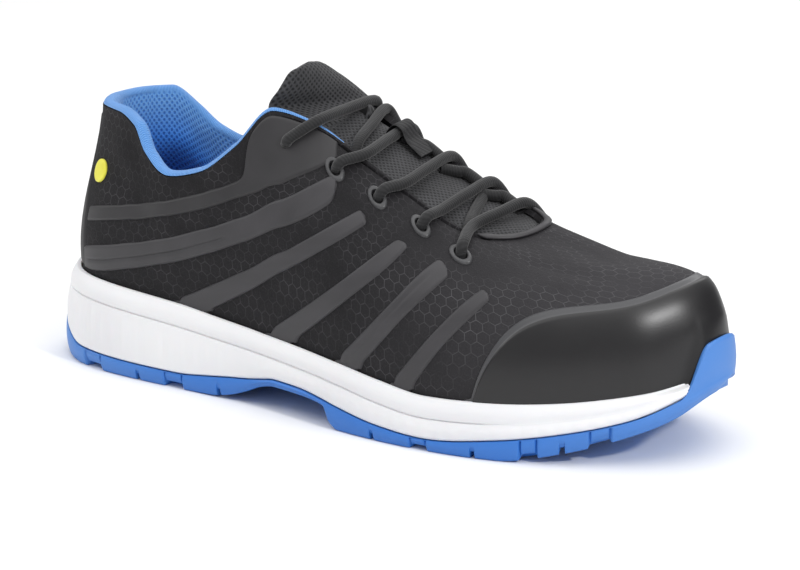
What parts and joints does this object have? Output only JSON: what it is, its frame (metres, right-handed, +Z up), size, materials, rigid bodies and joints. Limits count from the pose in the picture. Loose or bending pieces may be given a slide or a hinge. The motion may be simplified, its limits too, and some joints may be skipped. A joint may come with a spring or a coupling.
{
  "type": "safety sneaker",
  "caption": "Low lace-up safety shoe for the right foot: hollow fabric upper with toe cap and padded collar, on a cupped foam midsole and treaded rubber outsole.",
  "frame": {"origin": "on the floor, under the middle of the box around the standing shoe", "axes": "+X from the heel to the toe, +Y to the inner side of the foot, +Z up"},
  "size_m": [0.3, 0.1083, 0.1302],
  "materials": {
    "blue_rubber": "matte moulded rubber",
    "white_foam": "matte moulded foam",
    "insole_fabric": "brushed fabric",
    "black_mesh": "ripstop mesh",
    "grey_film": "matte film",
    "toe_cap_rubber": "satin rubber",
    "blue_spacer_mesh": "padded spacer mesh",
    "tongue_mesh": "padded mesh",
    "eyelet_grey": "matte film",
    "black_cord": "braided cord",
    "yellow_disc": "matte print"
  },
  "bodies": {
    "root": {"collar_lining": "blue_spacer_mesh", "eyelet_inner_2": "eyelet_grey", "eyelet_inner_3": "eyelet_grey", "eyelet_inner_4": "eyelet_grey", "eyelet_inner_5": "eyelet_grey", "eyelet_outer_2": "eyelet_grey", "eyelet_outer_3": "eyelet_grey", "eyelet_outer_4": "eyelet_grey", "eyelet_outer_5": "eyelet_grey", "eyestay_inner": "grey_film", "eyestay_outer": "grey_film", "heel_badge_inner": "yellow_disc", "heel_badge_outer": "yellow_disc", "heel_strip": "grey_film", "insole": "insole_fabric", "lace": "black_cord", "midsole": "white_foam", "outsole": "blue_rubber", "stripe_2_inner": "grey_film", "stripe_2_outer": "grey_film", "stripe_3_inner": "grey_film", "stripe_3_outer": "grey_film", "stripe_4_inner": "grey_film", "stripe_4_outer": "grey_film", "stripe_5_inner": "grey_film", "stripe_5_outer": "grey_film", "stripe_6_inner": "grey_film", "stripe_6_outer": "grey_film", "throat_binding": "black_mesh", "toe_cap": "toe_cap_rubber", "tongue": "tongue_mesh", "tongue_loop": "black_cord", "upper": "black_mesh"}
  },
  "joints": []
}
